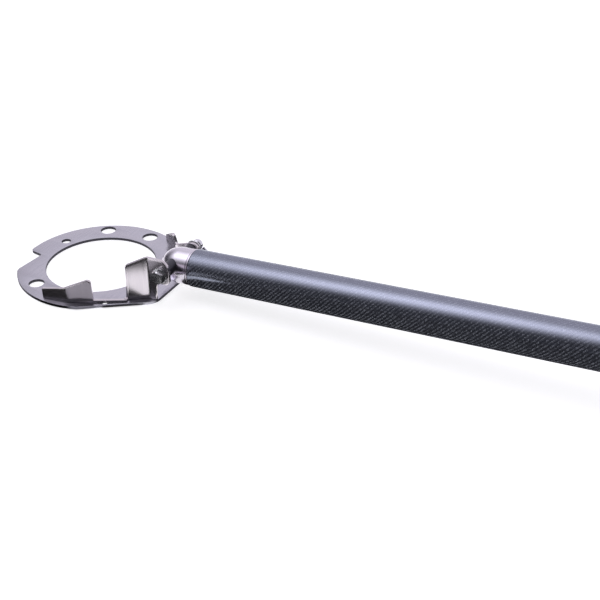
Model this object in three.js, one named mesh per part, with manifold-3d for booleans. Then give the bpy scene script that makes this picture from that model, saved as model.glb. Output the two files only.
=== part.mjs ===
// Aircraft tow bar: a hinged ring-plate head on a carbon-fibre bar with a T-handle.
// Millimetres, +Z up. The ring plate lies flat and the bar leaves it towards +X.
import * as THREE from 'three';
import { mergeVertices } from 'three/addons/utils/BufferGeometryUtils.js';
import Module from 'manifold-3d';

const wasm = await Module();
wasm.setup();

// ---------------------------------------------------------------- driving dimensions
const GAP = 0.3; // clearance between pieces that touch
const SHEET = 3; // stainless sheet of the plate and both flanges

// Ring plate, measured from the centre of its opening on its top face.
const RING_INNER_RADIUS = 57;
const RING_OUTER_RADIUS = 86;
const SIDE_DISTANCE = 83.6; // from the ring's centre to each straight side of the tail
const SIDE_ANGLE = THREE.MathUtils.degToRad(33.4); // between a straight side and the bar
const TAIL_END = 93.5;
const TAIL_CORNER_RADIUS = 9;
const PLATE_HOLES = [
  { x: 13, y: 71.4, diameter: 16.5 },
  { x: -38, y: 64.6, diameter: 16.5 },
  { x: -64.2, y: 23.2, diameter: 9.7 },
  { x: -35, y: -62, diameter: 15.4 },
  { x: 49, y: -61.6, diameter: 6.5 }, // bend relief between the front tabs
];
const NOTCH = { lipAngle: 183, lipReach: 71.5, cornerY: -15.4, bottomX: -69, endAngle: 214 };

// Pivot between head and bar; its axis runs along Y.
const PIVOT_X = 99.5;
const PIVOT_Z = 30;
const BOLT_RADIUS = 4;
const BOLT_END = 35.5;
const BOLT_HEAD = { acrossFlats: 13, height: 5.3 };
const WASHER = { radius: 8, thickness: 1.6 };
const BUSH = { radius: 5.1, length: 14, flangeRadius: 7.4, flange: 1 };
const TRUNNION_RADIUS = 6.6;

// Flanges. Each follows a plan path and is SHEET thick on the path's left. Every straight run has its
// own elevation of [distance along the run, height] points, which reach from BEFORE the run to PAST
// it; the mitres between neighbouring runs cut the ends.
const BEFORE = -9;
const PAST = 50;
const FRONT_FACE = 35.6; // outer face of the front cheek, from the bar's centre plane
const FRONT_TOP = 46;
const FRONT_RIB = 2; // low rib that joins the two front tabs
const CHEEK_END = 109.2;
const CHEEK_BOTTOM = 20;
const FRONT_PATH = [[-10, -82], [14.3, -78.7], [39.7, -66.4], [68.3, -51.6], [66.6, -47.4],
  [84.6, -FRONT_FACE], [CHEEK_END, -FRONT_FACE]];
const FRONT_ELEVATIONS = [
  [[0, GAP], [PAST, GAP], [PAST, 20.2], [1.5, 11]],
  [[BEFORE, GAP], [PAST, GAP], [PAST, FRONT_RIB], [28, FRONT_RIB], [27.6, 22.5], [24.5, 24.8], [20, 24],
    [BEFORE, 12.6]],
  [[BEFORE, GAP], [PAST, GAP], [PAST, FRONT_RIB], [BEFORE, FRONT_RIB]],
  [[BEFORE, GAP], [PAST, GAP], [PAST, FRONT_RIB], [BEFORE, FRONT_RIB]],
  [[BEFORE, GAP], [PAST, GAP], [PAST, FRONT_TOP], [21.5, FRONT_TOP], [4, 40], [1.2, 38.6], [0.2, 36],
    [0, FRONT_RIB], [BEFORE, FRONT_RIB]],
  [[BEFORE, GAP], [6, GAP], [7.5, CHEEK_BOTTOM - 3], [10, CHEEK_BOTTOM], [19, CHEEK_BOTTOM], [23, 24], [24.6, 31],
    [24.3, 37], [21.5, 43], [16.5, FRONT_TOP], [BEFORE, FRONT_TOP]],
];
const BACK_FACE = 25; // outer face of the back arm, from the bar's centre plane
const BACK_BEND_X = 79.5;
const BACK_TAB = 15.8;
const BACK_RIB = 9;
const BACK_NECK = 31.5;
const BACK_EYE_RADIUS = 7;
const BACK_PATH = [[31, 76.3], [60, 54.3], [BACK_BEND_X, BACK_FACE - SHEET],
  [PIVOT_X + BACK_EYE_RADIUS, BACK_FACE - SHEET]];
const BACK_EYE = Array.from({ length: 15 }, (_, i) => {
  const angle = THREE.MathUtils.degToRad(-110 + i * 17.5);
  const along = PIVOT_X - BACK_BEND_X + BACK_EYE_RADIUS * Math.cos(angle);
  return [along, PIVOT_Z + BACK_EYE_RADIUS * Math.sin(angle)];
});
const BACK_ELEVATIONS = [
  [[0, GAP], [PAST, GAP], [PAST, BACK_RIB], [32, BACK_RIB], [27, 13], [24, BACK_TAB], [19, BACK_TAB], [0, 5.3]],
  [[BEFORE, GAP], [PAST, GAP], [PAST, 32.4], [38, 31], [20, 18], [3, BACK_RIB], [BEFORE, BACK_RIB]],
  [[BEFORE, GAP], [6, GAP], [8, 17], ...BACK_EYE, [0, BACK_NECK], [BEFORE, BACK_NECK]],
];

// Clamp lever on the pivot bolt's back end.
const LEVER_START = BACK_FACE + 2 * GAP + WASHER.thickness;
const LEVER = { hubLength: 10.8, hubRadius: 5.8, reach: 36, armRadius: 3, tipRadius: 5, offset: 7 };
const LEVER_DROOP = THREE.MathUtils.degToRad(38);

// Bar. Its axis passes over the ring's centre and rises towards the handle.
const BAR_PITCH = THREE.MathUtils.degToRad(3.24);
const BAR_HEIGHT = 17.7; // axis above the plate at the ring's centre
const TUBE_RADIUS = 19;
const TUBE_WALL = 2;
const TUBE_START = 118.6;
const TUBE_LENGTH = 820;
const FERRULE_START = 80;
const FERRULE_RADIUS = 18.3;
const SPIGOT_LENGTH = 48;
const NOSE_LENGTH = 22; // rounded end of the ferrule
const SPIGOT_BORE = 12;

// Handle.
const SOCKET_LENGTH = 52;
const SOCKET_RADIUS = 22.5;
const HANDLE_RADIUS = 11;
const HANDLE_WALL = 1.5;
const HANDLE_HALF = 125;
const TEE_RADIUS = 15;
const TEE_HALF = 23;
const GRIP_LENGTH = 98;
const GRIP_RADIUS = 16;
const GRIP_STOP = 2.5; // height of the stop flange above the grip
const CAP_RADIUS = 13;
const CAP_PLUG = 14;
const SET_SCREW_RADIUS = 2.5;
const SOCKET_BOLT = { radius: 3, acrossFlats: 10, head: 4, nut: 5, washerRadius: 6, washer: 1.2, fromEnd: 22 };
const SPOT_FACE = { height: 20.8, radius: 7.2 };

const TUBE_END = TUBE_START + TUBE_LENGTH;
const HANDLE_X = TUBE_END + 24;
const SOCKET_START = TUBE_END - SOCKET_LENGTH;
const SOCKET_BOLT_X = TUBE_END - SOCKET_BOLT.fromEnd;
const CUT = 70; // half-length of a cutter that passes through the whole width

// ---------------------------------------------------------------- materials
const finish = (color, roughness, metalness) =>
  new THREE.MeshStandardMaterial({ color, roughness, metalness });
const stainless = () => finish(0xa9a7b2, 0.32, 1);
const polished = () => finish(0xc9c8d2, 0.15, 1);
const zinc = () => finish(0xd3d6d6, 0.25, 1);
const bearingSteel = () => finish(0x9b9aa0, 0.35, 1);
const carbon = () => finish(0x2a2d36, 0.25, 0.1);
const aluminium = () => finish(0x8f9299, 0.35, 1);
const rubber = () => finish(0x17181a, 0.8, 0);
const blackPlastic = () => finish(0x101113, 0.45, 0);

// ---------------------------------------------------------------- solids
function toSolid(geometry) {
  const bare = geometry.clone();
  bare.deleteAttribute('normal');
  bare.deleteAttribute('uv');
  const merged = mergeVertices(bare, 1e-4);
  const vertProperties = new Float32Array(merged.attributes.position.array);
  const triVerts = withoutSlivers(merged.index.array);
  if (signedVolume(vertProperties, triVerts) < 0) {
    triVerts.reverse();
  }
  return new wasm.Manifold(new wasm.Mesh({ numProp: 3, vertProperties, triVerts }));
}

// Triangles that lost a corner when their vertices merged, as at a lathe's poles, are dropped.
function withoutSlivers(index) {
  const kept = [];
  for (let i = 0; i < index.length; i += 3) {
    const [a, b, c] = [index[i], index[i + 1], index[i + 2]];
    if (a !== b && b !== c && c !== a) {
      kept.push(a, b, c);
    }
  }
  return new Uint32Array(kept);
}

function signedVolume(points, triangles) {
  const corner = (i) => new THREE.Vector3().fromArray(points, 3 * triangles[i]);
  let volume = 0;
  for (let i = 0; i < triangles.length; i += 3) {
    volume += corner(i).dot(corner(i + 1).cross(corner(i + 2))) / 6;
  }
  return volume;
}

function toGeometry(solid) {
  const { vertProperties, triVerts } = solid.getMesh();
  const geometry = new THREE.BufferGeometry();
  geometry.setAttribute('position', new THREE.BufferAttribute(new Float32Array(vertProperties), 3));
  geometry.setIndex(new THREE.BufferAttribute(new Uint32Array(triVerts), 1));
  geometry.computeVertexNormals();
  return geometry;
}

function piece(name, solid, material) {
  const mesh = new THREE.Mesh(toGeometry(solid), material);
  mesh.name = name;
  return mesh;
}

// A body of revolution about Y from [radius, y] points, which close on themselves or end on the axis.
function turned(points, segments = 32) {
  const outline = points.map(([radius, y]) => new THREE.Vector2(radius, y));
  return new THREE.LatheGeometry(outline, segments);
}

const aboutX = (geometry) => geometry.rotateZ(-Math.PI / 2);
const aboutZ = (geometry) => geometry.rotateX(Math.PI / 2);

// A closed ring profile: inner and outer radius between two stations.
const ringProfile = (inner, outer, from, to) =>
  [[inner, from], [outer, from], [outer, to], [inner, to], [inner, from]];
const rodProfile = (radius, from, to) => [[0, from], [radius, from], [radius, to], [0, to]];

function extruded(shape, depth, curveSegments = 28) {
  return new THREE.ExtrudeGeometry(shape, { depth, bevelEnabled: false, curveSegments });
}

const hexagon = (acrossFlats) => {
  const corner = acrossFlats / Math.sqrt(3);
  const points = Array.from({ length: 6 }, (_, i) => {
    const angle = (i * Math.PI) / 3;
    return new THREE.Vector2(corner * Math.cos(angle), corner * Math.sin(angle));
  });
  return new THREE.Shape(points);
};

// ---------------------------------------------------------------- ring plate
function tailSidePoint(x) {
  return (SIDE_DISTANCE - x * Math.sin(SIDE_ANGLE)) / Math.cos(SIDE_ANGLE);
}

function plateOutline() {
  const outline = new THREE.Shape();
  const sideStart = -Math.PI / 2 + SIDE_ANGLE - Math.acos(SIDE_DISTANCE / RING_OUTER_RADIUS);
  const corner = tailSidePoint(TAIL_END);
  const rounding = TAIL_CORNER_RADIUS;
  const cornerX = TAIL_END - rounding * Math.cos(SIDE_ANGLE);
  const lip = THREE.MathUtils.degToRad(NOTCH.lipAngle);
  const end = THREE.MathUtils.degToRad(NOTCH.endAngle);
  const at = (angle, radius = RING_OUTER_RADIUS) => [radius * Math.cos(angle), radius * Math.sin(angle)];

  outline.moveTo(...at(sideStart));
  outline.lineTo(cornerX, -tailSidePoint(cornerX));
  outline.quadraticCurveTo(TAIL_END, -corner, TAIL_END, -corner + rounding);
  outline.lineTo(TAIL_END, corner - rounding);
  outline.quadraticCurveTo(TAIL_END, corner, cornerX, tailSidePoint(cornerX));
  outline.lineTo(...at(-sideStart));
  outline.absarc(0, 0, RING_OUTER_RADIUS, -sideStart, lip, false);
  const [lipX, lipY] = at(lip);
  outline.quadraticCurveTo(lipX - 0.3, lipY - 5.2, lipX + 5.5, lipY - 6);
  outline.lineTo(-NOTCH.lipReach, lipY - 7.5);
  outline.quadraticCurveTo(NOTCH.bottomX, lipY - 8.2, NOTCH.bottomX, NOTCH.cornerY);
  const [endX, endY] = at(end);
  outline.lineTo(endX + 0.4, endY + 4);
  outline.quadraticCurveTo(endX, endY + 1.5, ...at(end + 0.03));
  outline.absarc(0, 0, RING_OUTER_RADIUS, end + 0.03, sideStart + 2 * Math.PI, false);
  return outline;
}

function ringPlate() {
  const outline = plateOutline();
  const opening = new THREE.Path();
  opening.absarc(0, 0, RING_INNER_RADIUS, 0, 2 * Math.PI, true);
  outline.holes.push(opening);
  for (const { x, y, diameter } of PLATE_HOLES) {
    const hole = new THREE.Path();
    hole.absarc(x, y, diameter / 2, 0, 2 * Math.PI, true);
    outline.holes.push(hole);
  }
  const plate = extruded(outline, SHEET).translate(0, 0, -SHEET);
  return piece('ring_plate', toSolid(plate), stainless());
}

// ---------------------------------------------------------------- bent flanges
function bentWall(corners, elevations) {
  const path = corners.map(([x, y]) => new THREE.Vector2(x, y));
  const offset = path.map((point, i) => mitrePoint(path, i));
  const walls = elevations.map((outline, i) => {
    const plan = new THREE.Shape([path[i], path[i + 1], offset[i + 1], offset[i]]);
    const block = toSolid(extruded(plan, FRONT_TOP + PIVOT_Z));
    return block.intersect(elevation(path[i], path[i + 1], outline));
  });
  return walls.reduce((joined, wall) => joined.add(wall));
}

function mitrePoint(path, i) {
  const before = path[Math.max(i - 1, 0)];
  const after = path[Math.min(i + 1, path.length - 1)];
  const incoming = i > 0 ? path[i].clone().sub(before).normalize() : null;
  const outgoing = i < path.length - 1 ? after.clone().sub(path[i]).normalize() : null;
  const first = incoming ?? outgoing;
  const second = outgoing ?? incoming;
  const left = new THREE.Vector2(-first.y, first.x).add(new THREE.Vector2(-second.y, second.x)).normalize();
  const stretch = SHEET / left.dot(new THREE.Vector2(-first.y, first.x));
  return path[i].clone().addScaledVector(left, stretch);
}

function elevation(from, to, points) {
  const depth = 40;
  const slab = extruded(new THREE.Shape(points.map(([x, y]) => new THREE.Vector2(x, y))), depth);
  slab.translate(0, 0, -depth / 2);
  slab.rotateX(Math.PI / 2);
  slab.rotateZ(Math.atan2(to.y - from.y, to.x - from.x));
  slab.translate(from.x, from.y, 0);
  return toSolid(slab);
}

const crossCutter = (radius, x, z) => toSolid(turned(rodProfile(radius, -CUT, CUT)).translate(x, 0, z));

function flange(name, path, elevations) {
  const wall = bentWall(path, elevations);
  return piece(name, wall.subtract(crossCutter(BOLT_RADIUS + GAP, PIVOT_X, PIVOT_Z)), stainless());
}

// ---------------------------------------------------------------- pivot
function pivotWasher(name, side) {
  const from = (side < 0 ? FRONT_FACE : BACK_FACE) + GAP;
  const profile = ringProfile(BOLT_RADIUS + GAP, WASHER.radius, from, from + WASHER.thickness);
  const ring = turned(profile, 36);
  return atPivot(piece(name, toSolid(side < 0 ? ring.rotateX(Math.PI) : ring), zinc()));
}

function atPivot(mesh) {
  mesh.position.set(PIVOT_X, 0, PIVOT_Z);
  return mesh;
}

function pivotBolt() {
  const seat = -(FRONT_FACE + GAP + WASHER.thickness + GAP);
  const shank = toSolid(turned(rodProfile(BOLT_RADIUS - 0.1, seat - 1, BOLT_END), 32));
  const blank = extruded(hexagon(BOLT_HEAD.acrossFlats), BOLT_HEAD.height);
  const head = toSolid(blank.rotateX(Math.PI / 2).translate(0, seat, 0));
  return atPivot(piece('pivot_bolt', shank.add(head), zinc()));
}

// ---------------------------------------------------------------- clamp lever
function leverHub() {
  const end = LEVER_START + LEVER.hubLength;
  const hub = toSolid(turned([
    [BOLT_RADIUS + GAP, LEVER_START],
    [LEVER.hubRadius, LEVER_START],
    [LEVER.hubRadius, end - 4],
    [LEVER.hubRadius - 1, end - 1.6],
    [LEVER.hubRadius - 3, end],
    [0, end],
    [0, end - 1.5],
    [BOLT_RADIUS + GAP, end - 1.5],
    [BOLT_RADIUS + GAP, LEVER_START],
  ]));
  return piece('lever_hub', hub, polished());
}

function leverArm() {
  const arm = turned(rodProfile(LEVER.armRadius, LEVER.hubRadius + GAP, LEVER.reach), 24);
  arm.rotateZ(-Math.PI / 2).translate(0, LEVER_START + LEVER.offset, 0);
  return piece('lever_arm', toSolid(arm), polished());
}

function leverTip() {
  const { reach, tipRadius, armRadius, offset } = LEVER;
  const start = reach - 13;
  const tip = turned([
    [armRadius + GAP, start],
    [tipRadius - 1.2, start],
    [tipRadius, start + 4],
    [tipRadius, reach + 1],
    [tipRadius - 2, reach + 3.2],
    [0, reach + 4],
    [0, reach + GAP],
    [armRadius + GAP, reach + GAP],
    [armRadius + GAP, start],
  ], 24);
  tip.rotateZ(-Math.PI / 2).translate(0, LEVER_START + offset, 0);
  return piece('lever_tip', toSolid(tip), blackPlastic());
}

function clampLever() {
  const lever = new THREE.Group();
  lever.add(leverHub(), leverArm(), leverTip());
  lever.position.set(PIVOT_X, 0, PIVOT_Z);
  lever.rotation.y = LEVER_DROOP;
  return lever;
}

// ---------------------------------------------------------------- bar
// The bar's own frame: X along its axis from the point over the ring's centre.
const pivotInBar = new THREE.Vector3(PIVOT_X, 0, PIVOT_Z - BAR_HEIGHT)
  .applyAxisAngle(new THREE.Vector3(0, 1, 0), BAR_PITCH);

function ferrule() {
  const spigot = TUBE_RADIUS - TUBE_WALL - GAP;
  const spigotEnd = TUBE_START + SPIGOT_LENGTH;
  const nose = Array.from({ length: 9 }, (_, i) => {
    const angle = Math.PI / 2 * i / 8;
    return [FERRULE_RADIUS * Math.sin(angle), FERRULE_START + NOSE_LENGTH * (1 - Math.cos(angle))];
  });
  const body = toSolid(aboutX(turned([
    ...nose,
    [FERRULE_RADIUS, TUBE_START - 2.4],
    [TUBE_RADIUS - 0.1, TUBE_START - 1.8],
    [TUBE_RADIUS - 0.1, TUBE_START - GAP],
    [spigot, TUBE_START - GAP],
    [spigot, spigotEnd - 2],
    [spigot - 2, spigotEnd],
    [SPIGOT_BORE, spigotEnd],
    [SPIGOT_BORE, TUBE_START + 6],
    [0, TUBE_START + 6],
  ], 48)));
  const trunnionBore = crossCutter(TRUNNION_RADIUS + GAP, pivotInBar.x, pivotInBar.z);
  return piece('ferrule', body.subtract(trunnionBore), polished());
}

function trunnionTube() {
  const room = SHEET + 2 * GAP + BUSH.flange;
  const profile = ringProfile(BUSH.radius + GAP, TRUNNION_RADIUS, room - FRONT_FACE, BACK_FACE - room);
  const tube = piece('trunnion_tube', toSolid(turned(profile)), polished());
  tube.position.copy(pivotInBar);
  return tube;
}

function bush(name, side) {
  const end = (side < 0 ? FRONT_FACE : BACK_FACE) - SHEET - GAP;
  const bore = BOLT_RADIUS + GAP;
  const flanged = turned([
    [bore, end],
    [BUSH.flangeRadius, end],
    [BUSH.flangeRadius, end - BUSH.flange],
    [BUSH.radius, end - BUSH.flange],
    [BUSH.radius, end - BUSH.length],
    [bore, end - BUSH.length],
    [bore, end],
  ]);
  if (side < 0) {
    flanged.rotateX(Math.PI);
  }
  const mesh = piece(name, toSolid(flanged), bearingSteel());
  mesh.position.copy(pivotInBar);
  return mesh;
}

function mainTube() {
  const profile = ringProfile(TUBE_RADIUS - TUBE_WALL, TUBE_RADIUS, TUBE_START, TUBE_END);
  const tube = toSolid(aboutX(turned(profile, 48)));
  return piece('main_tube', tube.subtract(socketBoltCutter()), carbon());
}

// ---------------------------------------------------------------- handle
const atSocketBolt = (geometry) => aboutZ(geometry).translate(SOCKET_BOLT_X, 0, 0);
const socketBoltCutter = () =>
  toSolid(atSocketBolt(turned(rodProfile(SOCKET_BOLT.radius + GAP, -CUT, CUT), 24)));

function handleSocket() {
  const sleeve = toSolid(aboutX(turned([
    [TUBE_RADIUS + GAP, SOCKET_START],
    [SOCKET_RADIUS - 1, SOCKET_START],
    [SOCKET_RADIUS, SOCKET_START + 1],
    [SOCKET_RADIUS, TUBE_END],
    [TEE_RADIUS, TUBE_END + 12],
    [TEE_RADIUS - 1, HANDLE_X],
    [0, HANDLE_X],
    [0, TUBE_END + GAP],
    [TUBE_RADIUS + GAP, TUBE_END + GAP],
    [TUBE_RADIUS + GAP, SOCKET_START],
  ], 48)));
  const tee = toSolid(turned([[0, -TEE_HALF], [TEE_RADIUS - 1, -TEE_HALF], [TEE_RADIUS, -TEE_HALF + 1],
    [TEE_RADIUS, TEE_HALF - 1], [TEE_RADIUS - 1, TEE_HALF], [0, TEE_HALF]], 40).translate(HANDLE_X, 0, 0));
  const spotFaces = [-1, 1].map((side) => {
    const cut = turned(rodProfile(SPOT_FACE.radius, SPOT_FACE.height, CUT));
    return toSolid(atSocketBolt(side > 0 ? cut : cut.rotateX(Math.PI)));
  });
  let socket = sleeve.add(tee).subtract(crossCutter(HANDLE_RADIUS + GAP, HANDLE_X, 0));
  socket = socket.subtract(socketBoltCutter());
  for (const face of spotFaces) {
    socket = socket.subtract(face);
  }
  const setScrewHole = aboutX(turned(rodProfile(SET_SCREW_RADIUS + GAP, HANDLE_X + 5, HANDLE_X + 30), 20));
  return piece('handle_socket', socket.subtract(toSolid(setScrewHole)), aluminium());
}

function socketFastener() {
  const { radius, acrossFlats, washerRadius } = SOCKET_BOLT;
  const washerFace = SPOT_FACE.height + GAP;
  const washerOuter = washerFace + SOCKET_BOLT.washer;
  const seat = washerOuter + GAP;
  const washer = (name, from, to) =>
    piece(name, toSolid(atSocketBolt(turned(ringProfile(radius + GAP, washerRadius, from, to), 28))), zinc());
  const shank = toSolid(atSocketBolt(turned(rodProfile(radius - 0.1, -seat - 6, seat + 1), 24)));
  const head = toSolid(extruded(hexagon(acrossFlats), SOCKET_BOLT.head).translate(SOCKET_BOLT_X, 0, seat));
  const nut = extruded(hexagon(acrossFlats), SOCKET_BOLT.nut);
  nut.translate(SOCKET_BOLT_X, 0, -seat - SOCKET_BOLT.nut);
  return [
    piece('socket_bolt', shank.add(head), zinc()),
    washer('socket_washer_top', washerFace, washerOuter),
    washer('socket_washer_bottom', -washerOuter, -washerFace),
    piece('socket_nut', toSolid(nut).subtract(socketBoltCutter()), zinc()),
  ];
}

function handleTube() {
  const profile = ringProfile(HANDLE_RADIUS - HANDLE_WALL, HANDLE_RADIUS, -HANDLE_HALF, HANDLE_HALF);
  return piece('handle_tube', toSolid(turned(profile, 40).translate(HANDLE_X, 0, 0)), aluminium());
}

function handleSetScrew() {
  const profile = rodProfile(SET_SCREW_RADIUS, HANDLE_X + HANDLE_RADIUS + GAP, HANDLE_X + TEE_RADIUS - 0.4);
  return piece('handle_set_screw', toSolid(aboutX(turned(profile, 20))), zinc());
}

function grip(name, side) {
  const start = TEE_HALF + 2;
  const end = start + GRIP_LENGTH;
  const bore = HANDLE_RADIUS + GAP;
  const sleeve = turned([
    [bore, start],
    [GRIP_RADIUS + GRIP_STOP - 0.5, start],
    [GRIP_RADIUS + GRIP_STOP, start + 1],
    [GRIP_RADIUS + GRIP_STOP, start + 4],
    [GRIP_RADIUS, start + 9],
    [GRIP_RADIUS, end - 4],
    [GRIP_RADIUS - 2, end],
    [bore, end],
    [bore, start],
  ]);
  return piece(name, toSolid(mirrored(sleeve, side)), rubber());
}

function cap(name, side) {
  const bore = HANDLE_RADIUS - HANDLE_WALL - GAP;
  const plug = turned([
    [0, HANDLE_HALF - CAP_PLUG],
    [bore - 1, HANDLE_HALF - CAP_PLUG],
    [bore, HANDLE_HALF - CAP_PLUG + 2],
    [bore, HANDLE_HALF + GAP],
    [CAP_RADIUS, HANDLE_HALF + GAP],
    [CAP_RADIUS, HANDLE_HALF + 2],
    [CAP_RADIUS - 2, HANDLE_HALF + 4.5],
    [CAP_RADIUS - 7, HANDLE_HALF + 6],
    [0, HANDLE_HALF + 6.4],
  ]);
  return piece(name, toSolid(mirrored(plug, side)), blackPlastic());
}

function mirrored(geometry, side) {
  if (side < 0) {
    geometry.rotateX(Math.PI);
  }
  return geometry.translate(HANDLE_X, 0, 0);
}

// ---------------------------------------------------------------- assembly
const head = new THREE.Group();
head.add(ringPlate(), pivotBolt());
head.add(flange('front_flange', FRONT_PATH, FRONT_ELEVATIONS));
head.add(flange('back_flange', BACK_PATH, BACK_ELEVATIONS));
head.add(pivotWasher('washer_front', -1), pivotWasher('washer_back', 1), clampLever());

const bar = new THREE.Group();
bar.add(ferrule(), trunnionTube(), bush('bush_front', -1), bush('bush_back', 1), mainTube());
bar.add(handleSocket(), ...socketFastener(), handleTube(), handleSetScrew());
bar.add(grip('grip_front', -1), grip('grip_back', 1), cap('cap_front', -1), cap('cap_back', 1));
bar.position.z = BAR_HEIGHT;
bar.rotation.y = -BAR_PITCH;

// The origin is the middle of the underside of the whole tow bar.
const towBar = new THREE.Group();
towBar.add(head, bar);
towBar.updateMatrixWorld(true);
const bounds = new THREE.Box3().setFromObject(towBar, true);
towBar.position.set(-(bounds.min.x + bounds.max.x) / 2, 0, SHEET);

export default towBar;
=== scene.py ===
"""Aircraft tow bar: hinged ring-plate head, carbon-fibre bar and T-handle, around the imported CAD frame."""

import math

import bmesh
import bpy
from mathutils import Matrix, Vector


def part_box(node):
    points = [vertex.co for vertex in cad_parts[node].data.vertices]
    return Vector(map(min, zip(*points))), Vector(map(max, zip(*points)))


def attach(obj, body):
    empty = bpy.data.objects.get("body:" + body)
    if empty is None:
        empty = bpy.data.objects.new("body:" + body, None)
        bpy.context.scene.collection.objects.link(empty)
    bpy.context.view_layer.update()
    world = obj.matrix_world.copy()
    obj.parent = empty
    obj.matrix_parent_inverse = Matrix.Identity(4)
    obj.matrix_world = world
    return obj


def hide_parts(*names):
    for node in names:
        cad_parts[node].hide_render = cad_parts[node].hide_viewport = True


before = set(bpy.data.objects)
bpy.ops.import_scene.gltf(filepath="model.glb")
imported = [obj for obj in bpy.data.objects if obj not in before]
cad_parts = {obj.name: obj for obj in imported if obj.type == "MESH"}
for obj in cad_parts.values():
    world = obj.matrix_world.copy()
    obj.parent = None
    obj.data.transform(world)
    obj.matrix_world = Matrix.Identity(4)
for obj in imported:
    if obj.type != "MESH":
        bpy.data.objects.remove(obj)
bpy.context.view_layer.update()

MM = 0.001

# ---------------------------------------------------------------- sizes, in millimetres unless said
SHEET = 3.0
RING_INNER = 57.0
RING_OUTER = 86.0
SIDE_DISTANCE = 83.6
SIDE_ANGLE = math.radians(33.4)
TAIL_END = 93.5
TAIL_ROUNDING = 9.0
HOLES = ((13, 71.4, 8.25), (-38, 64.6, 8.25), (-64.2, 23.2, 4.85), (-35, -62, 7.7), (49, -61.6, 3.25))
NOTCH_LIP = math.radians(183)
NOTCH_END = math.radians(214)
PIVOT = Vector((99.5, 0, 30))
FRONT_FACE = 35.6
BACK_FACE = 25.0
PIVOT_GAP = 0.3
BOLT_RADIUS = 3.9
BOLT_HEAD_ACROSS = 13
BOLT_HEAD_HEIGHT = 5.3
BOLT_END = 35.5
WASHER = 1.6
WASHER_RADIUS = 8
PIVOT_BORE = 4.3
TRUNNION_INNER = 5.4
TRUNNION_OUTER = 6.6
BUSH_RADIUS = 5.1
BUSH_FLANGE_RADIUS = 7.4
BUSH_LENGTH = 14
FRONT_RIB = 2.0
FRONT_TOP = 46.0
BACK_RIB = 9
BACK_EYE_RADIUS = 7
UNDERCUT = 0.3
BAR_PITCH = math.radians(3.24)
BAR_HEIGHT = 17.7
TUBE_RADIUS = 19.0
TUBE_BORE = 17
TUBE_START = 118.6
TUBE_END = TUBE_START + 820
TOW_WIDTH = 1.05
FERRULE_START = 80
FERRULE_RADIUS = 18.3
NOSE_LENGTH = 22
LEVER_DROOP = math.radians(38)
HUB_LENGTH = 10.8
ARM_HEIGHT = 7
HANDLE_X = TUBE_END + 24
HANDLE_HALF = 125
HANDLE_BORE = 9.5
HANDLE_RADIUS = 11
SOCKET_LENGTH = 52
SOCKET_RADIUS = 22.5
SOCKET_BOLT_X = TUBE_END - 22
SPOT_FACE = 20.8
GRIP_BORE = 11.3
GRIP_RADIUS = 16
GRIP_RIB_PITCH = 5.2

# ---------------------------------------------------------------- frames
plate_low, plate_high = (Vector(corner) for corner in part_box("ring_plate"))
RING_CENTRE = Vector((plate_low.x + RING_OUTER * MM, 0, plate_high.z))
HEAD = Matrix.Translation(RING_CENTRE) @ Matrix.Scale(1, 4)
BAR = HEAD @ Matrix.Translation((0, 0, BAR_HEIGHT * MM)) @ Matrix.Rotation(-BAR_PITCH, 4, "Y")
LEVER = HEAD @ Matrix.Translation(PIVOT * MM) @ Matrix.Rotation(LEVER_DROOP, 4, "Y")
AT_PIVOT = HEAD @ Matrix.Translation(PIVOT * MM)
PIVOT_IN_BAR = (BAR.inverted() @ AT_PIVOT.translation) / MM


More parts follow.
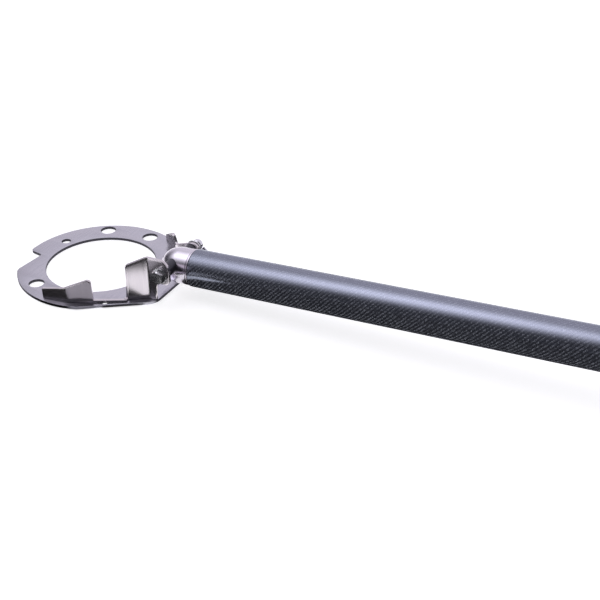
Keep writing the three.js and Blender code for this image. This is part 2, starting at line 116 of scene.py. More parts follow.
# ---------------------------------------------------------------- materials
class Nodes:
    """A short way to build a node tree; most methods add what they need and return its output."""

    def __init__(self, name):
        self.material = bpy.data.materials.new(name)
        self.material.use_nodes = True
        self.tree = self.material.node_tree
        self.shader = self.tree.nodes["Principled BSDF"]

    def link(self, source, target):
        if isinstance(source, (int, float)):
            target.default_value = source
        else:
            self.tree.links.new(source, target)

    def math(self, operation, a, b=0.0):
        node = self.tree.nodes.new("ShaderNodeMath")
        node.operation = operation
        for value, socket in zip((a, b), node.inputs):
            self.link(value, socket)
        return node.outputs[0]

    def coordinates(self, scale=(1, 1, 1)):
        source = self.tree.nodes.new("ShaderNodeTexCoord")
        mapping = self.tree.nodes.new("ShaderNodeMapping")
        mapping.inputs["Scale"].default_value = scale
        self.tree.links.new(source.outputs["Object"], mapping.inputs[0])
        return mapping.outputs[0]

    def noise(self, coordinates, scale, detail=3.0, roughness=0.5):
        node = self.tree.nodes.new("ShaderNodeTexNoise")
        self.tree.links.new(coordinates, node.inputs["Vector"])
        node.inputs["Scale"].default_value = scale
        node.inputs["Detail"].default_value = detail
        node.inputs["Roughness"].default_value = roughness
        return node.outputs["Fac"]

    def remap(self, value, low, high, new_low, new_high):
        node = self.tree.nodes.new("ShaderNodeMapRange")
        self.link(value, node.inputs["Value"])
        for socket, number in zip(("From Min", "From Max", "To Min", "To Max"), (low, high, new_low, new_high)):
            node.inputs[socket].default_value = number
        return node.outputs[0]

    def mix(self, factor, colour_a, colour_b):
        node = self.tree.nodes.new("ShaderNodeMix")
        node.data_type = "RGBA"
        self.link(factor, node.inputs["Factor"])
        for colour, socket in ((colour_a, node.inputs[6]), (colour_b, node.inputs[7])):
            if isinstance(colour, tuple):
                socket.default_value = (*colour, 1)
            else:
                self.tree.links.new(colour, socket)
        return node.outputs[2]

    def choose(self, factor, a, b):
        node = self.tree.nodes.new("ShaderNodeMix")
        self.link(factor, node.inputs["Factor"])
        self.link(a, node.inputs[2])
        self.link(b, node.inputs[3])
        return node.outputs[0]

    def cut_side(self):
        """One on the sides of a sheet lying flat, nought on its faces."""
        source = self.tree.nodes.new("ShaderNodeTexCoord")
        split = self.tree.nodes.new("ShaderNodeSeparateXYZ")
        self.tree.links.new(source.outputs["Normal"], split.inputs[0])
        return self.remap(self.math("ABSOLUTE", split.outputs[2]), 0.9, 0.98, 1, 0)

    def reach(self, direction, low, high):
        """Nought to one as the place along a direction, in metres, goes from low to high."""
        dot = self.tree.nodes.new("ShaderNodeVectorMath")
        dot.operation = "DOT_PRODUCT"
        self.tree.links.new(self.coordinates(), dot.inputs[0])
        dot.inputs[1].default_value = direction
        return self.remap(dot.outputs["Value"], low, high, 0, 1)

    def bump(self, height, strength, distance):
        node = self.tree.nodes.new("ShaderNodeBump")
        node.inputs["Strength"].default_value = strength
        node.inputs["Distance"].default_value = distance
        self.tree.links.new(height, node.inputs["Height"])
        return node.outputs[0]

    def finish(self, colour, roughness, normal=None, **sockets):
        self.link(colour, self.shader.inputs["Base Color"])
        self.link(roughness, self.shader.inputs["Roughness"])
        if normal is not None:
            self.tree.links.new(normal, self.shader.inputs["Normal"])
        for name, value in sockets.items():
            self.shader.inputs[name.replace("_", " ")].default_value = value
        return self.material


def metal(name, light, dark, roughness, brush=(1, 1, 1), scratch=0.12, smudge=0.06, edge=None):
    """Metal with a brushed grain stretched by brush and faint handling marks; edge is a painted shade for the cut
    sides, with the straight front side kept light as a painted reflection.
    """
    nodes = Nodes(name)
    grain = nodes.noise(nodes.coordinates(scale=brush), 900, 4, 0.6)
    cloud = nodes.noise(nodes.coordinates(), 22, 4)
    tone = nodes.math("ADD", nodes.math("MULTIPLY", grain, 0.7), nodes.math("MULTIPLY", cloud, 0.3))
    colour = nodes.mix(nodes.remap(tone, 0.3, 0.7, 0, 1), dark, light)
    polish = nodes.remap(cloud, 0.3, 0.7, roughness - smudge, roughness + smudge)
    # painted shade: cut sides and their rolled rims are coloured near black; the straight front side keeps the light
    # colour as a painted reflection
    if edge is not None:
        cut = nodes.cut_side()
        straight = nodes.reach((math.sin(SIDE_ANGLE), -math.cos(SIDE_ANGLE), 0), 0.0805, 0.0825)
        colour = nodes.mix(cut, colour, nodes.mix(straight, edge, light))
        polish = nodes.choose(cut, polish, 0.55)
    normal = nodes.bump(grain, scratch, 0.00006)
    return nodes.finish(colour, polish, normal, Metallic=1.0)


def carbon_weave():
    """2x2 twill: tows run along and round the bar, two over and two under, stepping by one each row."""
    nodes = Nodes("carbon_twill")
    uv = nodes.tree.nodes.new("ShaderNodeUVMap")
    uv.uv_map = "along_and_round"
    split = nodes.tree.nodes.new("ShaderNodeSeparateXYZ")
    nodes.tree.links.new(uv.outputs[0], split.inputs[0])
    along, around = split.outputs[0], split.outputs[1]
    column, ring = nodes.math("FLOOR", along), nodes.math("FLOOR", around)
    row = nodes.math("ADD", nodes.math("ADD", column, ring), 0.5)
    over = nodes.math("LESS_THAN", nodes.math("FRACT", nodes.math("MULTIPLY", row, 0.25)), 0.5)
    across = nodes.math("FRACT", nodes.choose(over, along, around))
    centred = nodes.math("SUBTRACT", nodes.math("MULTIPLY", across, 2), 1)
    crown = nodes.math("SUBTRACT", 1, nodes.math("MULTIPLY", centred, centred))
    cell = nodes.tree.nodes.new("ShaderNodeCombineXYZ")
    nodes.tree.links.new(column, cell.inputs[0])
    nodes.tree.links.new(ring, cell.inputs[1])
    chance = nodes.tree.nodes.new("ShaderNodeTexWhiteNoise")
    nodes.tree.links.new(cell.outputs[0], chance.inputs["Vector"])
    value = chance.outputs["Value"]
    # painted glints: random tow cells brightened in the base colour, standing in for tow facets catching the light
    painted_glint = nodes.math("POWER", value, 2)
    # painted sheen: warp tows are coloured far brighter than weft tows, standing in for light running along the fibres
    weft = nodes.mix(painted_glint, (0.003, 0.0033, 0.004), (0.02, 0.022, 0.026))
    warp = nodes.mix(painted_glint, (0.05, 0.053, 0.06), (0.24, 0.25, 0.285))
    # painted shade: the colour falls to near black at each tow's edges
    shaded = nodes.mix(nodes.remap(crown, 0, 0.5, 0, 1), (0.003, 0.003, 0.004), nodes.mix(over, weft, warp))
    gloss = nodes.remap(over, 0, 1, 0.2, 0.15)
    normal = nodes.bump(crown, 0.15, 0.00006)
    return nodes.finish(shaded, gloss, normal, IOR=3.7, Specular_Tint=(0.76, 0.81, 1, 1))


def moulded(name, colour, paler, roughness, grain_scale, depth):
    """Moulded rubber or plastic with a fine grain and slightly dusty high spots."""
    nodes = Nodes(name)
    coordinates = nodes.coordinates()
    grain = nodes.noise(coordinates, grain_scale, 3)
    dust = nodes.noise(coordinates, 45, 5, 0.65)
    shade = nodes.mix(nodes.remap(dust, 0.45, 0.75, 0, 1), colour, paler)
    gloss = nodes.remap(dust, 0.3, 0.7, roughness - 0.06, roughness + 0.08)
    return nodes.finish(shade, gloss, nodes.bump(grain, 0.5, depth))


STAINLESS = metal("stainless_satin", (0.60, 0.58, 0.635), (0.53, 0.51, 0.57), 0.3, (1, 0.04, 1), 0.1, 0.03)
# the plate's edge colour below is painted shade on its cut sides
PLATE = metal("stainless_plate", (0.61, 0.60, 0.66), (0.54, 0.53, 0.59), 0.25, (1, 0.04, 1), 0.1, 0.03,
              edge=(0.07, 0.067, 0.08))
FLANGE_STEEL = metal("stainless_upright_grain", (0.76, 0.715, 0.745), (0.64, 0.60, 0.64), 0.19, (1, 1, 0.04), 0.08,
                     0.02)
POLISHED = metal("polished_steel", (0.80, 0.79, 0.85), (0.70, 0.69, 0.75), 0.13, (0.05, 1, 1), 0.05, 0.03)
FERRULE_STEEL = metal("ferrule_satin_steel", (0.80, 0.76, 0.84), (0.72, 0.68, 0.76), 0.19, (0.05, 1, 1), 0.1, 0.03)
ZINC = metal("zinc_plate", (0.80, 0.80, 0.82), (0.66, 0.66, 0.68), 0.2, (1, 1, 1), 0.1)
# painted shade: the trunnion is coloured near black to stand in for the dark band beside the ferrule's nose
TRUNNION_PAINTED_SHADE = metal("trunnion_steel_painted_shade", (0.10, 0.098, 0.115), (0.07, 0.068, 0.08), 0.34, (1, 0.1, 1))
ALUMINIUM = metal("blasted_aluminium", (0.55, 0.56, 0.6), (0.46, 0.47, 0.5), 0.42, (1, 1, 1), 0.3)
TUBE_ALUMINIUM = metal("anodised_aluminium", (0.5, 0.51, 0.55), (0.42, 0.43, 0.47), 0.3, (1, 0.05, 1))
CARBON = carbon_weave()
RUBBER = moulded("grip_rubber", (0.014, 0.014, 0.015), (0.035, 0.035, 0.036), 0.68, 700, 0.0001)
PLASTIC = moulded("black_plastic", (0.012, 0.012, 0.014), (0.03, 0.03, 0.033), 0.42, 1200, 0.00005)


# ---------------------------------------------------------------- mesh helpers
def add_piece(name, mesh, material, body, node, matrix):
    piece = bpy.data.objects.new(name, mesh)
    bpy.context.collection.objects.link(piece)
    piece.matrix_world = matrix
    mesh.materials.append(material)
    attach(piece, body)
    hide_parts(node)
    return piece


def smooth(mesh, angle=math.radians(32)):
    mesh.shade_smooth()
    mesh.set_sharp_from_angle(angle=angle)


def bend_point(start, corner, end, t):
    """The place at t, nought to one, on the curve that turns a corner."""
    return start * (1 - t) ** 2 + corner * 2 * t * (1 - t) + end * t * t


def bend(before, corner, after, radius, limit, steps):
    """Points of the curve round a corner, starting at most radius from it."""
    before, corner, after = Vector(before), Vector(corner), Vector(after)
    reach = min(radius, (before - corner).length * limit, (after - corner).length * limit)
    start = corner + (before - corner).normalized() * reach
    end = corner + (after - corner).normalized() * reach
    return [bend_point(start, corner, end, i / steps) for i in range(steps + 1)]


def rounded(profile, radius, steps=4):
    """The same profile with each inner corner turned into a small arc."""
    result = [Vector(profile[0])]
    for before, corner, after in zip(profile, profile[1:], profile[2:]):
        result += bend(before, corner, after, radius, 0.45, steps)
    result.append(Vector(profile[-1]))
    return result


def around_axis(radius, turn, along, axis):
    """A place round and along an axis, in metres; the sizes given are in millimetres."""
    across = (radius * math.cos(turn), radius * math.sin(turn))
    ordered = {"X": (along, *across), "Y": (across[0], along, across[1]), "Z": (*across, along)}
    return Vector(ordered[axis]) * MM


def lathe_mesh(name, profile, axis, segments=96, closed=False, uv_scale=1.0):
    """Turns (radius, along) points about axis."""
    rings = profile[:-1] if closed else profile
    verts = [around_axis(radius, 2 * math.pi * k / segments, along, axis)
             for radius, along in rings for k in range(segments)]
    count = len(rings)
    faces = []
    corners = []
    for i in range(count if closed else count - 1):
        j = (i + 1) % count
        for k in range(segments):
            m = (k + 1) % segments
            faces.append((i * segments + k, i * segments + m, j * segments + m, j * segments + k))
            corners.append(((i, k), (i, k + 1), (j, k + 1), (j, k)))
    mesh = bpy.data.meshes.new(name)
    mesh.from_pydata(verts, [], faces)
    layer = mesh.uv_layers.new(name="along_and_round")
    width = 2 * math.pi * TUBE_RADIUS
    for polygon, corner in zip(mesh.polygons, corners):
        for loop, (ring, k) in zip(polygon.loop_indices, corner):
            layer.data[loop].uv = (rings[ring][1] * uv_scale, k / segments * width * uv_scale)
    tidy_mesh(mesh)
    return mesh


def tidy_mesh(mesh):
    """Welds the points on the axis, drops empty faces and points every face out."""
    work = bmesh.new()
    work.from_mesh(mesh)
    bmesh.ops.remove_doubles(work, verts=work.verts, dist=1e-7)
    bmesh.ops.dissolve_degenerate(work, dist=1e-7, edges=work.edges)
    holes = [edge for edge in work.edges if edge.is_boundary]
    if holes:
        bmesh.ops.holes_fill(work, edges=holes, sides=0)
    bmesh.ops.recalc_face_normals(work, faces=work.faces)
    work.to_mesh(mesh)
    work.free()
    smooth(mesh)


def lathe(name, node, body, matrix, material, profile, axis="X", round_by=0.4, **options):
    mesh = lathe_mesh(name, rounded(profile, round_by), axis, **options)
    return add_piece(name, mesh, material, body, node, matrix)


def ring_profile(inner, outer, start, end, chamfer=0.3):
    return [(inner, (start + end) / 2), (inner, start), (outer - chamfer, start), (outer, start + chamfer),
            (outer, end - chamfer), (outer - chamfer, end), (inner, end), (inner, (start + end) / 2)]


def rod_profile(radius, start, end, chamfer=0.4):
    return [(0, start), (radius - chamfer, start), (radius, start + chamfer), (radius, end - chamfer),
            (radius - chamfer, end), (0, end)]


def hexagon_mesh(name, across, start, end, axis, segments=72):
    """A hexagon head or nut from start to end, with its corners turned off at the end face."""
    flat = across / 2
    toward = 1 if end > start else -1
    rings = []
    for turn in (2 * math.pi * k / segments for k in range(segments)):
        within = (turn + math.pi / 6) % (math.pi / 3) - math.pi / 6
        reach = flat / math.cos(within)
        shoulder = end - toward * (1.1 + (reach - flat) * 0.55)
        rings.append(((reach, turn, start), (reach, turn, shoulder), (flat * 0.96, turn, end)))
    verts = [around_axis(*ring[i], axis) for i in range(3) for ring in rings]
    faces = []
    for i in range(2):
        for k in range(segments):
            m = (k + 1) % segments
            faces.append((i * segments + k, i * segments + m, (i + 1) * segments + m, (i + 1) * segments + k))
    faces.append(tuple(range(segments)))
    faces.append(tuple(range(2 * segments, 3 * segments)))
    mesh = bpy.data.meshes.new(name)
    mesh.from_pydata(verts, [], faces)
    tidy_mesh(mesh)
    return mesh


def join_meshes(name, *meshes):
    work = bmesh.new()
    for mesh in meshes:
        work.from_mesh(mesh)
    joined = bpy.data.meshes.new(name)
    work.to_mesh(joined)
    work.free()
    smooth(joined)
    return joined


# ---------------------------------------------------------------- ring plate
def tail_side(x):
    return (SIDE_DISTANCE - x * math.sin(SIDE_ANGLE)) / math.cos(SIDE_ANGLE)


def arc(centre, radius, start, end, count):
    return [(centre[0] + radius * math.cos(start + (end - start) * i / count),
             centre[1] + radius * math.sin(start + (end - start) * i / count)) for i in range(count + 1)]


def curve_corner(start, corner, end, count=8):
    start, corner, end = Vector(start), Vector(corner), Vector(end)
    return [tuple(bend_point(start, corner, end, i / count)) for i in range(1, count)]


def plate_outline():
    side_start = -math.pi / 2 + SIDE_ANGLE - math.acos(SIDE_DISTANCE / RING_OUTER)
    corner_x = TAIL_END - TAIL_ROUNDING * math.cos(SIDE_ANGLE)
    corner = tail_side(TAIL_END)
    before = (corner_x, tail_side(corner_x))
    after = (TAIL_END, corner - TAIL_ROUNDING)
    back_corner = [after, *curve_corner(after, (TAIL_END, corner), before), before]
    front_corner = [(x, -y) for x, y in reversed(back_corner)]
    lip = Vector((math.cos(NOTCH_LIP), math.sin(NOTCH_LIP))) * RING_OUTER
    under = (lip.x + 5.5, lip.y - 6)
    inner = (-71.5, lip.y - 7.5)
    foot = (-69, -15.4)
    end = Vector((math.cos(NOTCH_END), math.sin(NOTCH_END))) * RING_OUTER
    rejoin = NOTCH_END + 0.03
    meet = (RING_OUTER * math.cos(rejoin), RING_OUTER * math.sin(rejoin))
    low = (end.x + 0.4, end.y + 4)
    notch = [*curve_corner(tuple(lip), (lip.x - 0.3, lip.y - 5.2), under), under, inner,
             *curve_corner(inner, (-69, lip.y - 8.2), foot), foot, low, *curve_corner(low, (end.x, end.y + 1.5), meet)]
    back = arc((0, 0), RING_OUTER, -side_start, NOTCH_LIP, 110)
    front = arc((0, 0), RING_OUTER, rejoin, side_start + 2 * math.pi, 60)
    return front_corner + back_corner + back + notch + front


def sheet_mesh(name, loops, thickness, bevel):
    """A flat plate with rolled edges from closed loops in plan: the first is the outline, the rest are holes."""
    curve = bpy.data.curves.new(name + "_outline", "CURVE")
    curve.dimensions = "2D"
    curve.fill_mode = "BOTH"
    curve.extrude = (thickness / 2 - bevel) * MM
    curve.bevel_depth = bevel * MM
    curve.bevel_resolution = 2
    curve.offset = -bevel * MM
    for loop in loops:
        spline = curve.splines.new("POLY")
        spline.points.add(len(loop) - 1)
        for point, (x, y) in zip(spline.points, loop):
            point.co = (x * MM, y * MM, 0, 1)
        spline.use_cyclic_u = True
    holder = bpy.data.objects.new(name + "_holder", curve)
    bpy.context.collection.objects.link(holder)
    mesh = bpy.data.meshes.new_from_object(holder.evaluated_get(bpy.context.evaluated_depsgraph_get()))
    bpy.data.objects.remove(holder)
    bpy.data.curves.remove(curve)
    return mesh


def ring_plate():
    loops = [plate_outline(), arc((0, 0), RING_INNER, 0, 2 * math.pi, 180)[:-1]]
    loops += [arc((x, y), radius, 0, 2 * math.pi, 56)[:-1] for x, y, radius in HOLES]
    mesh = sheet_mesh("ring_plate_sheet", loops, SHEET, 0.25)
    tidy_mesh(mesh)
    matrix = HEAD @ Matrix.Translation((0, 0, -SHEET / 2 * MM))
    add_piece("ring_plate_finished", mesh, PLATE, "head", "ring_plate", matrix)


# ---------------------------------------------------------------- bent flanges
WALL_ROWS = 12


def bent_path(corners, bend_radius, step):
    """Points and left-hand normals along a plan path whose corners are bent to a radius."""
    points = [Vector(corners[0])]
    for before, corner, after in zip(corners, corners[1:], corners[2:]):
        points += bend(before, corner, after, bend_radius, 0.4, 8)
    points.append(Vector(corners[-1]))
    dense = [points[0]]
    for start, end in zip(points, points[1:]):
        count = max(1, math.ceil((end - start).length / step))
        dense += [start + (end - start) * (i / count) for i in range(1, count + 1)]
    normals = []
    for i in range(len(dense)):
        ahead = dense[min(i + 1, len(dense) - 1)] - dense[max(i - 1, 0)]
        normals.append(Vector((-ahead.y, ahead.x)).normalized())
    lengths = [0.0]
    for start, end in zip(dense, dense[1:]):
        lengths.append(lengths[-1] + (end - start).length)
    return dense, normals, lengths


def level(stations, distance):
    """Height at a distance along the wall, by straight runs between (distance, height) stations."""
    for (s0, h0), (s1, h1) in zip(stations, stations[1:]):
        if s0 <= distance <= s1:
            return h0 + (h1 - h0) * (distance - s0) / max(s1 - s0, 1e-6)
    return stations[-1][1] if distance > stations[-1][0] else stations[0][1]


def bent_wall(name, corners, tops, bottoms, bend_radius, node):
    """A bent sheet, SHEET thick on the path's left, between a bottom and a top profile, with softened edges."""
    points, normals, lengths = bent_path(corners, bend_radius, 0.6)
    verts = []
    for side in (0, SHEET):
        for point, normal, distance in zip(points, normals, lengths):
            low, high = level(bottoms, distance), level(tops, distance)
            place = point + normal * side
            verts += [Vector((place.x, place.y, low + (high - low) * k / WALL_ROWS)) * MM
                      for k in range(WALL_ROWS + 1)]
    mesh = bpy.data.meshes.new(name)
    mesh.from_pydata(verts, [], wall_faces(len(points)))
    soften_rims(mesh)
    smooth(mesh, math.radians(50))
    add_piece(name, mesh, FLANGE_STEEL, "head", node, HEAD)


def wall_faces(columns):
    """Faces of a closed wall from its two sides' points, column by column."""
    stride = WALL_ROWS + 1
    half = columns * stride
    faces = []
    for i in range(columns - 1):
        for k in range(WALL_ROWS):
            a = i * stride + k
            faces.append((a, a + stride, a + stride + 1, a + 1))
            faces.append((half + a, half + a + 1, half + a + stride + 1, half + a + stride))
        for k in (0, WALL_ROWS):
            a = i * stride + k
            faces.append((a, half + a, half + a + stride, a + stride))
    for i in (0, columns - 1):
        for k in range(WALL_ROWS):
            a = i * stride + k
            faces.append((a, a + 1, half + a + 1, half + a))
    return faces


def soften_rims(mesh):
    work = bmesh.new()
    work.from_mesh(mesh)
    bmesh.ops.recalc_face_normals(work, faces=work.faces)
    rims = [edge for edge in work.edges if edge.calc_face_angle(0) > math.radians(60)]
    bmesh.ops.bevel(work, geom=rims, offset=0.3 * MM, segments=2, profile=0.6, affect="EDGES", clamp_overlap=True)
    work.to_mesh(mesh)
    work.free()


def distances(corners):
    total = [0.0]
    for start, end in zip(corners, corners[1:]):
        total.append(total[-1] + (Vector(end) - Vector(start)).length)
    return total


def rounded_top(start, end, low, high, radius, count=6):
    """Stations round a top corner that rises from low to high over radius."""
    return [(start + (end - start) * (1 - math.cos(math.pi / 2 * i / count)),
             low + (high - low) * math.sin(math.pi / 2 * i / count)) for i in range(count + 1)]


def quarter_turn(along, height, reach, rise, count):
    """Stations round a corner, from straight over or under its centre to straight beside it."""
    return [(along + reach * math.sin(math.pi / 2 * i / count), height + rise * math.cos(math.pi / 2 * i / count))
            for i in range(count + 1)]


def round_eye(along, first, last, step):
    """Stations round the back arm's eye, between two angles in degrees."""
    return [(along + BACK_EYE_RADIUS * math.cos(turn), PIVOT.z + BACK_EYE_RADIUS * math.sin(turn))
            for turn in (math.radians(a) for a in range(first, last, step))]


def front_flange():
    corners = [(-10, -82), (14.3, -78.7), (39.7, -66.4), (68.3, -51.6), (66.6, -47.4), (84.6, -FRONT_FACE),
               (109.2, -FRONT_FACE)]
    d = distances(corners)
    tops = [(0, 11), (d[1], 15.6), (d[2] - 5, 24.2)]
    tops += quarter_turn(d[2] - 5, 21, 4.4, 3.4, 6)
    tops += [(d[2] - 0.5, FRONT_RIB), (d[4] - 0.6, FRONT_RIB)]
    tops += rounded_top(d[4] - 0.5, d[4] + 3.2, 35, 39.4, 4)
    tops += [(d[5] - 1, 45.8), (d[5] + 14, FRONT_TOP)]
    tops += quarter_turn(d[5] + 14, 33, 9.8, 13, 12)
    bottoms = [(0, UNDERCUT), (d[5] + 6, UNDERCUT), (d[5] + 7.2, 14), (d[5] + 9.5, 19.4), (d[5] + 12, 20),
               (d[5] + 19, 20.2)]
    bottoms += quarter_turn(d[5] + 19, 29, 4.8, -8.8, 8)
    bent_wall("front_flange_finished", corners, tops, bottoms, 2.6, "front_flange")


def back_flange():
    inner = BACK_FACE - SHEET
    corners = [(31, 76.3), (60, 54.3), (79.5, inner), (106.5, inner)]
    d = distances(corners)
    tops = [(0, 5.3), (17.5, 14.9), (18.6, 15.5), (20, 15.8), (23, 15.8), (25, 15), (27, 12.9), (30, 9.8),
            (32, BACK_RIB), (d[1], BACK_RIB), (d[1] + 4, 9.8), (d[1] + 20, 18), (d[2] - 3, 28.5), (d[2] + 2, 31.6)]
    eye = d[2] + (PIVOT.x - corners[2][0])
    tops += round_eye(eye, 120, -1, -10)
    bottoms = [(0, UNDERCUT), (d[2] + 6, UNDERCUT), (d[2] + 7.6, 15)]
    bottoms += round_eye(eye, -120, -3, 10)
    bent_wall("back_flange_finished", corners, tops, bottoms, 3.5, "back_flange")


# ---------------------------------------------------------------- pivot
def mirrored(profile, side):
    return [(radius, side * along) for radius, along in profile]


def pivot_bolt():
    seat = -(FRONT_FACE + 2 * PIVOT_GAP + WASHER)
    head = hexagon_mesh("bolt_head", BOLT_HEAD_ACROSS, seat, seat - BOLT_HEAD_HEIGHT, "Y")
    shank = lathe_mesh("bolt_shank", rod_profile(BOLT_RADIUS, seat - 1, BOLT_END), "Y", 48)
    add_piece("pivot_bolt_finished", join_meshes("pivot_bolt_mesh", head, shank), ZINC, "head", "pivot_bolt", AT_PIVOT)


def pivot():
    pivot_bolt()
    for node, side, face in (("washer_front", -1, FRONT_FACE), ("washer_back", 1, BACK_FACE)):
        start = face + PIVOT_GAP
        profile = mirrored(ring_profile(PIVOT_BORE, WASHER_RADIUS, start, start + WASHER, 0.4), side)
        lathe(node + "_finished", node, "head", AT_PIVOT, ZINC, profile, "Y", 0.2, closed=True, segments=64)
    in_bar = BAR @ Matrix.Translation(PIVOT_IN_BAR * MM)
    room = SHEET + 2 * PIVOT_GAP + 1
    # coloured near black as painted shade
    lathe("trunnion_tube_finished", "trunnion_tube", "bar", in_bar, TRUNNION_PAINTED_SHADE,
          ring_profile(TRUNNION_INNER, TRUNNION_OUTER, room - FRONT_FACE, BACK_FACE - room), "Y", 0.2, closed=True,
          segments=64)
    for node, side, face in (("bush_front", -1, FRONT_FACE), ("bush_back", 1, BACK_FACE)):
        profile = mirrored(bush_profile(face - SHEET - PIVOT_GAP), side)
        lathe(node + "_finished", node, "bar", in_bar, STAINLESS, profile, "Y", 0.15, closed=True, segments=64)


def bush_profile(end):
    """A flanged bush whose flange faces end."""
    inner, outer, flange = PIVOT_BORE, BUSH_RADIUS, BUSH_FLANGE_RADIUS
    return [(inner, end - BUSH_LENGTH / 2), (inner, end - BUSH_LENGTH), (outer, end - BUSH_LENGTH), (outer, end - 1),
            (flange - 0.3, end - 1), (flange, end - 0.7), (flange, end - 0.3), (flange - 0.3, end), (inner, end),
            (inner, end - BUSH_LENGTH / 2)]


def clamp_lever():
    start = BACK_FACE + 2 * PIVOT_GAP + WASHER
    end = start + HUB_LENGTH
    hub = [(0, end - 1.5), (PIVOT_BORE, end - 1.5), (PIVOT_BORE, start + 4), (PIVOT_BORE, start), (5.5, start),
           (5.8, start + 0.4), (5.8, start + 2), (5.3, start + 2.5), (5.3, start + 3.1), (5.8, start + 3.6),
           (5.8, end - 4), (4.9, end - 1.6), (3, end - 0.2), (0, end)]
    lathe("lever_hub_finished", "lever_hub", "clamp_lever", LEVER, POLISHED, hub, "Y", 0.6, segments=80)
    along_arm = LEVER @ Matrix.Translation((0, (start + ARM_HEIGHT) * MM, 0))
    arm = [(0, 6.1), (3, 6.1), (3, 7.2), (2.5, 8.4), (2.5, 20), (3, 22), (3, 35.6), (2.6, 36), (0, 36)]
    lathe("lever_arm_finished", "lever_arm", "clamp_lever", along_arm, POLISHED, arm, "X", 0.5, segments=48)
    tip = [(0, 36.3), (3.3, 36.3), (3.3, 23), (3.9, 23), (4.6, 25), (5, 28), (5, 36), (4.2, 38.4), (2.4, 39.7),
           (0, 40)]
    lathe("lever_tip_finished", "lever_tip", "clamp_lever", along_arm, PLASTIC, tip, "X", 0.6, segments=64)


# ---------------------------------------------------------------- bar
def ferrule():
    radius = FERRULE_RADIUS
    dome = [(radius * math.sin(turn), FERRULE_START + NOSE_LENGTH * (1 - math.cos(turn)))
            for turn in (math.pi / 2 * i / 24 for i in range(25))]
    barrel = [(radius, x) for x in range(104, 116, 2)]
    collar = [(radius, 115.6), (17.7, 115.9), (17.7, 116.3), (18.9, 116.8), (18.9, 118.3)]
    spigot = [(16.7, 118.3), (16.7, 164.6), (14.7, 166.6), (12, 166.6), (12, 124.6), (0, 124.6)]
    lathe("ferrule_finished", "ferrule", "bar", BAR, FERRULE_STEEL, [*dome, *barrel, *collar, *spigot], "X", 0.35,
          segments=128)


def main_tube():
    middle = 500
    profile = [(TUBE_BORE, middle), (TUBE_BORE, TUBE_START), (18.7, TUBE_START), (TUBE_RADIUS, TUBE_START + 0.4),
               (TUBE_RADIUS, TUBE_END - 0.4), (18.7, TUBE_END), (TUBE_BORE, TUBE_END), (TUBE_BORE, middle)]
    lathe("main_tube_finished", "main_tube", "bar", BAR, CARBON, profile, "X", 0.15, segments=192, closed=True,
          uv_scale=1 / TOW_WIDTH)


# ---------------------------------------------------------------- handle
def handle_socket():
    start = TUBE_END - SOCKET_LENGTH
    sleeve = [(0, TUBE_END + 0.3), (19.3, TUBE_END + 0.3), (19.3, start), (21.5, start), (SOCKET_RADIUS, start + 1),
              (SOCKET_RADIUS, start + 5), (21.9, start + 5.6), (21.9, start + 7), (SOCKET_RADIUS, start + 7.6),
              (SOCKET_RADIUS, TUBE_END), (15, TUBE_END + 12), (14, HANDLE_X), (0, HANDLE_X)]
    body = lathe_mesh("socket_sleeve", rounded(sleeve, 1.2), "X", 96)
    tee = [(GRIP_BORE, 0), (GRIP_BORE, -23), (14, -23), (15, -22), (15, 22), (14, 23), (GRIP_BORE, 23), (GRIP_BORE, 0)]
    cross = lathe_mesh("socket_tee", rounded(tee, 0.8), "Y", 96, closed=True)
    cross.transform(Matrix.Translation((HANDLE_X * MM, 0, 0)))
    add_piece("handle_socket_finished", join_meshes("handle_socket_mesh", body, cross), ALUMINIUM, "bar",
              "handle_socket", BAR)


def handle():
    handle_socket()
    at_handle = BAR @ Matrix.Translation((HANDLE_X * MM, 0, 0))
    tube = ring_profile(HANDLE_BORE, HANDLE_RADIUS, -HANDLE_HALF, HANDLE_HALF)
    lathe("handle_tube_finished", "handle_tube", "bar", at_handle, TUBE_ALUMINIUM, tube, "Y", 0.2, closed=True,
          segments=96)
    screw = [(0, 11.5), (2.5, 11.5), (2.5, 14), (2.2, 14.6), (1.2, 14.6), (1.2, 13), (0, 13)]
    lathe("handle_set_screw_finished", "handle_set_screw", "bar", at_handle, ZINC, screw, "X", 0.15, segments=32)
    for node, side in (("grip_front", -1), ("grip_back", 1)):
        lathe(node + "_finished", node, "bar", at_handle, RUBBER, mirrored(grip_profile(), side), "Y", 0.6,
              closed=True, segments=96)
    cap = [(0, 111), (8.2, 111), (9.2, 113), (9.2, 125.3), (12.4, 125.3), (13, 125.9), (13, 127), (11, 129.5),
           (6, 131), (0, 131.3)]
    for node, side in (("cap_front", -1), ("cap_back", 1)):
        lathe(node + "_finished", node, "bar", at_handle, PLASTIC, mirrored(cap, side), "Y", 0.9, segments=96)
    socket_fastener()


def grip_profile():
    """A moulded grip: stop flange, ribbed barrel and rolled end."""
    points = [(GRIP_BORE, 60), (GRIP_BORE, 25), (18, 25), (18.5, 26), (18.5, 29), (17.2, 31), (GRIP_RADIUS, 34)]
    y = 40.0
    while y < 112:
        points += [(GRIP_RADIUS, y), (GRIP_RADIUS - 1, y + 0.8), (GRIP_RADIUS - 1, y + 1.6), (GRIP_RADIUS, y + 2.4)]
        y += GRIP_RIB_PITCH
    return points + [(GRIP_RADIUS, 119), (14, 123), (GRIP_BORE, 123), (GRIP_BORE, 60)]


